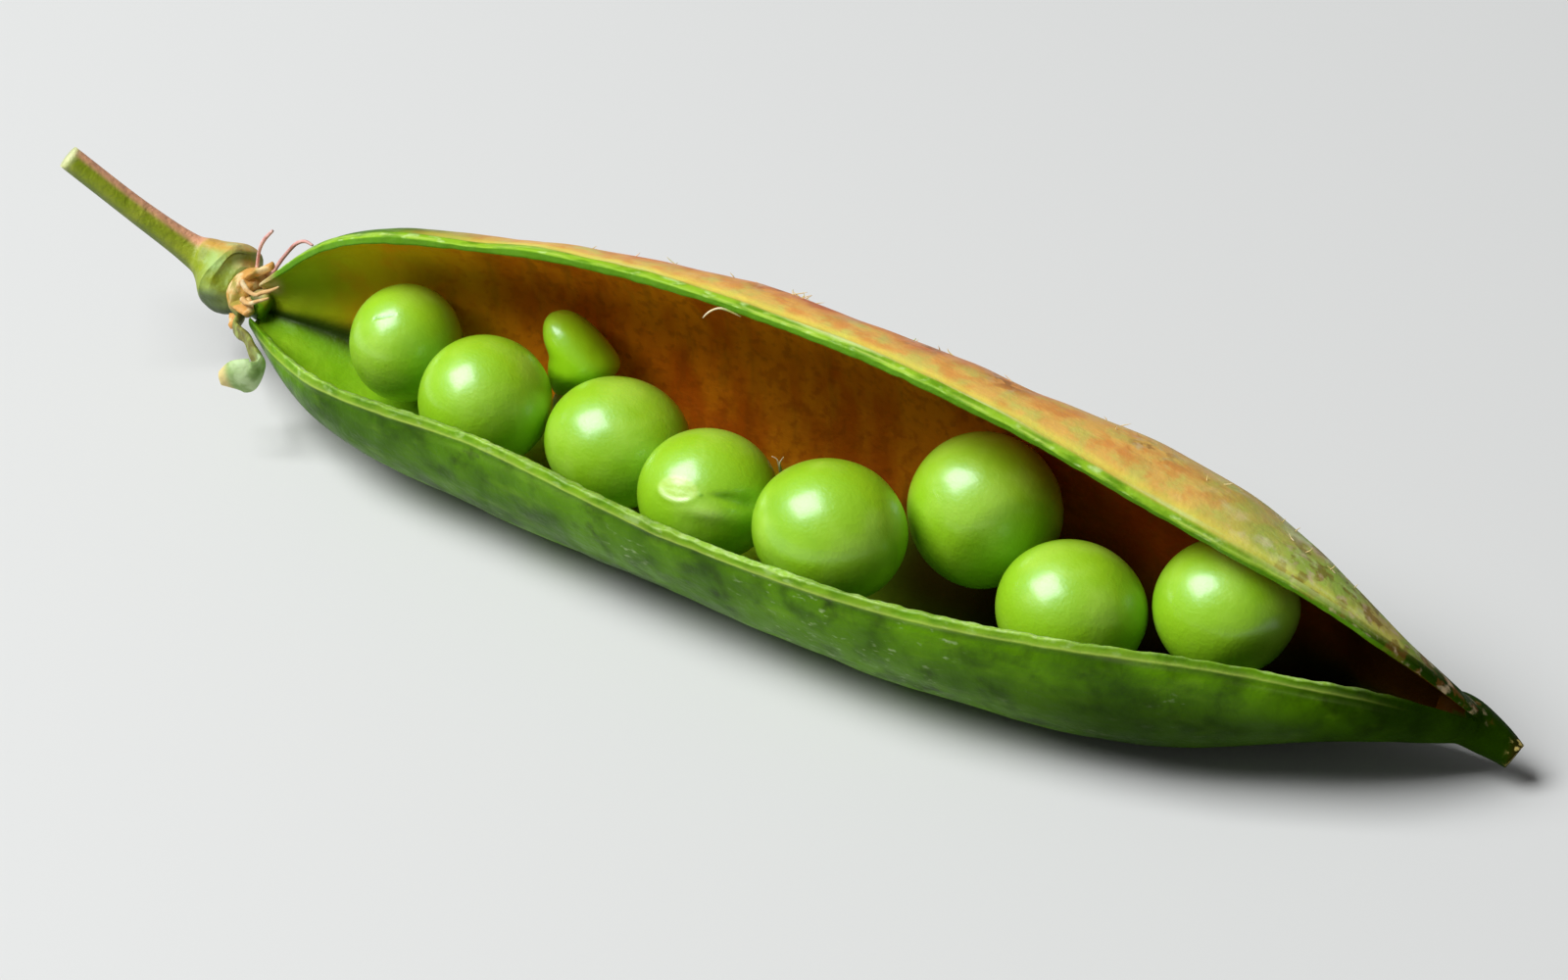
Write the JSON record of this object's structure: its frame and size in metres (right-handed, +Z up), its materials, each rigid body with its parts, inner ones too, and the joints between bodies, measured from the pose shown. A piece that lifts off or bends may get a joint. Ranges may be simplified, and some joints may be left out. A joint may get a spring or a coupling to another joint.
{
  "type": "pea pod",
  "caption": "Garden pea pod lying on its side, split open along its ventral edge, with stem, withered calyx and loose peas resting inside.",
  "frame": {"origin": "on the surface the pod lies on, in the flat resting spot under the middle of the pod", "axes": "+X along the pod from the stem end to the beak, +Z up; the open mouth faces -Y and upward"},
  "size_m": [0.1016, 0.0213, 0.0198],
  "materials": {
    "pod_shell": "waxy green skin",
    "stem": "soft green stalk",
    "calyx": "withered, dry",
    "pea": "smooth waxy skin",
    "young_pea": "smooth waxy skin"
  },
  "bodies": {
    "root": {"pod_shell": "pod_shell", "stem": "stem", "calyx": "calyx", "pea_1": "pea", "pea_2": "pea", "pea_3": "pea", "pea_4": "pea", "pea_5": "pea", "pea_6": "pea", "pea_7": "pea", "pea_8": "pea", "pea_small": "young_pea"}
  },
  "joints": []
}
